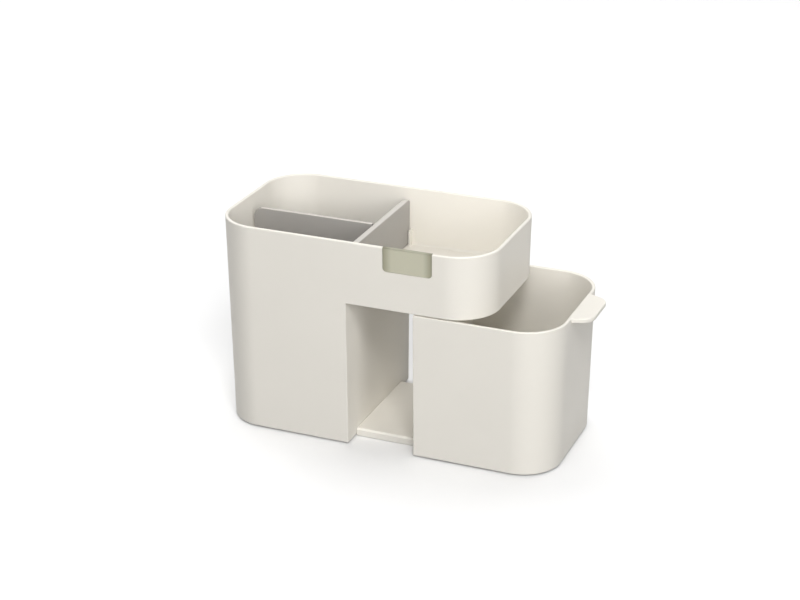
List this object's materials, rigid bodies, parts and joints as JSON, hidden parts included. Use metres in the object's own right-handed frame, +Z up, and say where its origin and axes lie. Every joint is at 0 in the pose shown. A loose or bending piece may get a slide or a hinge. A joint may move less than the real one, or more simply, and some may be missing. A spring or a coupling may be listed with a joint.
{
  "type": "makeup organizer with drawer",
  "caption": "Cosmetics organizer with a deep column and a shallow tray moulded in one, lift-out dividers, and a drawer that slides out from under the tray along a base plate.",
  "frame": {"origin": "on the table under the middle of the housing, which is the middle of the centre grip strip's lower face", "axes": "+X right along the length, the way the drawer opens; +Y to the back; +Z up"},
  "size_m": [0.254, 0.1138, 0.1481],
  "materials": {
    "shell_plastic": "warm off-white, fine matt moulded texture",
    "plate_plastic": "warm off-white, matt moulded",
    "drawer_plastic": "warm off-white, fine matt moulded texture",
    "divider_plastic": "warm grey, satin moulded",
    "badge_metal": "satin anodised, grey green",
    "grip_rubber": "pale silicone rubber",
    "screw_steel": "zinc plated"
  },
  "bodies": {
    "housing": {"body_shell": "shell_plastic", "base_plate": "plate_plastic", "base_screws": "screw_steel", "left_grip_strip": "grip_rubber", "middle_grip_strip": "grip_rubber", "right_grip_strip": "grip_rubber", "badge": "badge_metal"},
    "drawer": {"drawer": "drawer_plastic"},
    "lengthwise_divider": {"lengthwise_divider": "divider_plastic"},
    "transverse_divider": {"transverse_divider": "divider_plastic"}
  },
  "joints": [
    {"name": "drawer_slide", "type": "slide", "parent": "housing", "child": "drawer", "axis": [1, 0, 0], "range_m": [-0.0468, 0.0282]},
    {"name": "lengthwise_divider_lift", "type": "slide", "parent": "housing", "child": "lengthwise_divider", "axis": [0, 0, 1], "range_m": [0, 0.14]},
    {"name": "transverse_divider_lift", "type": "slide", "parent": "housing", "child": "transverse_divider", "axis": [0, 0, 1], "range_m": [0, 0.05]}
  ]
}
